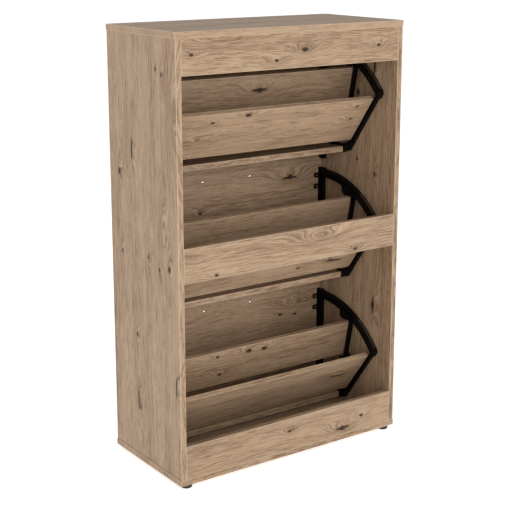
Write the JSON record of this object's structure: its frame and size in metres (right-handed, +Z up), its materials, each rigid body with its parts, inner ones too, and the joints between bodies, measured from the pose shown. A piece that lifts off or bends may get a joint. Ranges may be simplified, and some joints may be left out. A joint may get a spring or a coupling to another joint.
{
  "type": "shoe cabinet",
  "caption": "Narrow free-standing shoe cabinet in knotty oak board with stacked tip-out flaps, each with a divided shoe trough, and an open rear with cross rails.",
  "frame": {"origin": "on the floor, at the middle of the cabinet's bounding box", "axes": "+Z up, +Y towards the open rear that stands against a wall, -Y towards the side with the flaps and handles, +X along the width"},
  "size_m": [0.72, 0.3682, 1.17],
  "materials": {
    "knotty_oak_board": "matt melamine with a knotty oak print",
    "black_plastic": "moulded, matt",
    "handle_black": "matt powder coat",
    "foot_rubber": "matt",
    "zinc_steel": "zinc plated"
  },
  "bodies": {
    "carcass": {"top_panel": "knotty_oak_board", "bottom_panel": "knotty_oak_board", "side_panel_left": "knotty_oak_board", "side_panel_right": "knotty_oak_board", "rear_rail_bottom": "knotty_oak_board", "rear_rail_middle": "knotty_oak_board", "rear_rail_top": "knotty_oak_board", "foot_front_left": "foot_rubber", "foot_front_right": "foot_rubber", "foot_rear_left": "foot_rubber", "foot_rear_right": "foot_rubber", "pivot_bracket_lower_left": "black_plastic", "pivot_bracket_lower_right": "black_plastic", "pivot_bracket_middle_left": "black_plastic", "pivot_bracket_middle_right": "black_plastic", "pivot_bracket_upper_left": "black_plastic", "pivot_bracket_upper_right": "black_plastic"},
    "flap_lower": {"flap_front_lower": "knotty_oak_board", "side_frame_lower_left": "black_plastic", "side_frame_lower_right": "black_plastic", "divider_board_lower": "knotty_oak_board", "rear_board_lower": "knotty_oak_board", "bottom_board_lower": "knotty_oak_board", "handle_lower": "handle_black", "handle_screw_lower_left": "zinc_steel", "handle_screw_lower_right": "zinc_steel", "frame_screw_lower_left_1": "zinc_steel", "frame_screw_lower_left_2": "zinc_steel", "frame_screw_lower_right_1": "zinc_steel", "frame_screw_lower_right_2": "zinc_steel"},
    "flap_middle": {"flap_front_middle": "knotty_oak_board", "side_frame_middle_left": "black_plastic", "side_frame_middle_right": "black_plastic", "divider_board_middle": "knotty_oak_board", "rear_board_middle": "knotty_oak_board", "bottom_board_middle": "knotty_oak_board", "handle_middle": "handle_black", "handle_screw_middle_left": "zinc_steel", "handle_screw_middle_right": "zinc_steel", "frame_screw_middle_left_1": "zinc_steel", "frame_screw_middle_left_2": "zinc_steel", "frame_screw_middle_right_1": "zinc_steel", "frame_screw_middle_right_2": "zinc_steel"},
    "flap_upper": {"flap_front_upper": "knotty_oak_board", "side_frame_upper_left": "black_plastic", "side_frame_upper_right": "black_plastic", "divider_board_upper": "knotty_oak_board", "rear_board_upper": "knotty_oak_board", "bottom_board_upper": "knotty_oak_board", "handle_upper": "handle_black", "handle_screw_upper_left": "zinc_steel", "handle_screw_upper_right": "zinc_steel", "frame_screw_upper_left_1": "zinc_steel", "frame_screw_upper_left_2": "zinc_steel", "frame_screw_upper_right_1": "zinc_steel", "frame_screw_upper_right_2": "zinc_steel"}
  },
  "joints": [
    {"name": "tip_out_lower", "type": "hinge", "parent": "carcass", "child": "flap_lower", "pos_m": [0, -0.13585, 0.071], "axis": [1, 0, 0], "range_deg": [0, 42]},
    {"name": "tip_out_middle", "type": "hinge", "parent": "carcass", "child": "flap_middle", "pos_m": [0, -0.13585, 0.44533], "axis": [1, 0, 0], "range_deg": [0, 42]},
    {"name": "tip_out_upper", "type": "hinge", "parent": "carcass", "child": "flap_upper", "pos_m": [0, -0.13585, 0.81967], "axis": [1, 0, 0], "range_deg": [0, 42]}
  ]
}
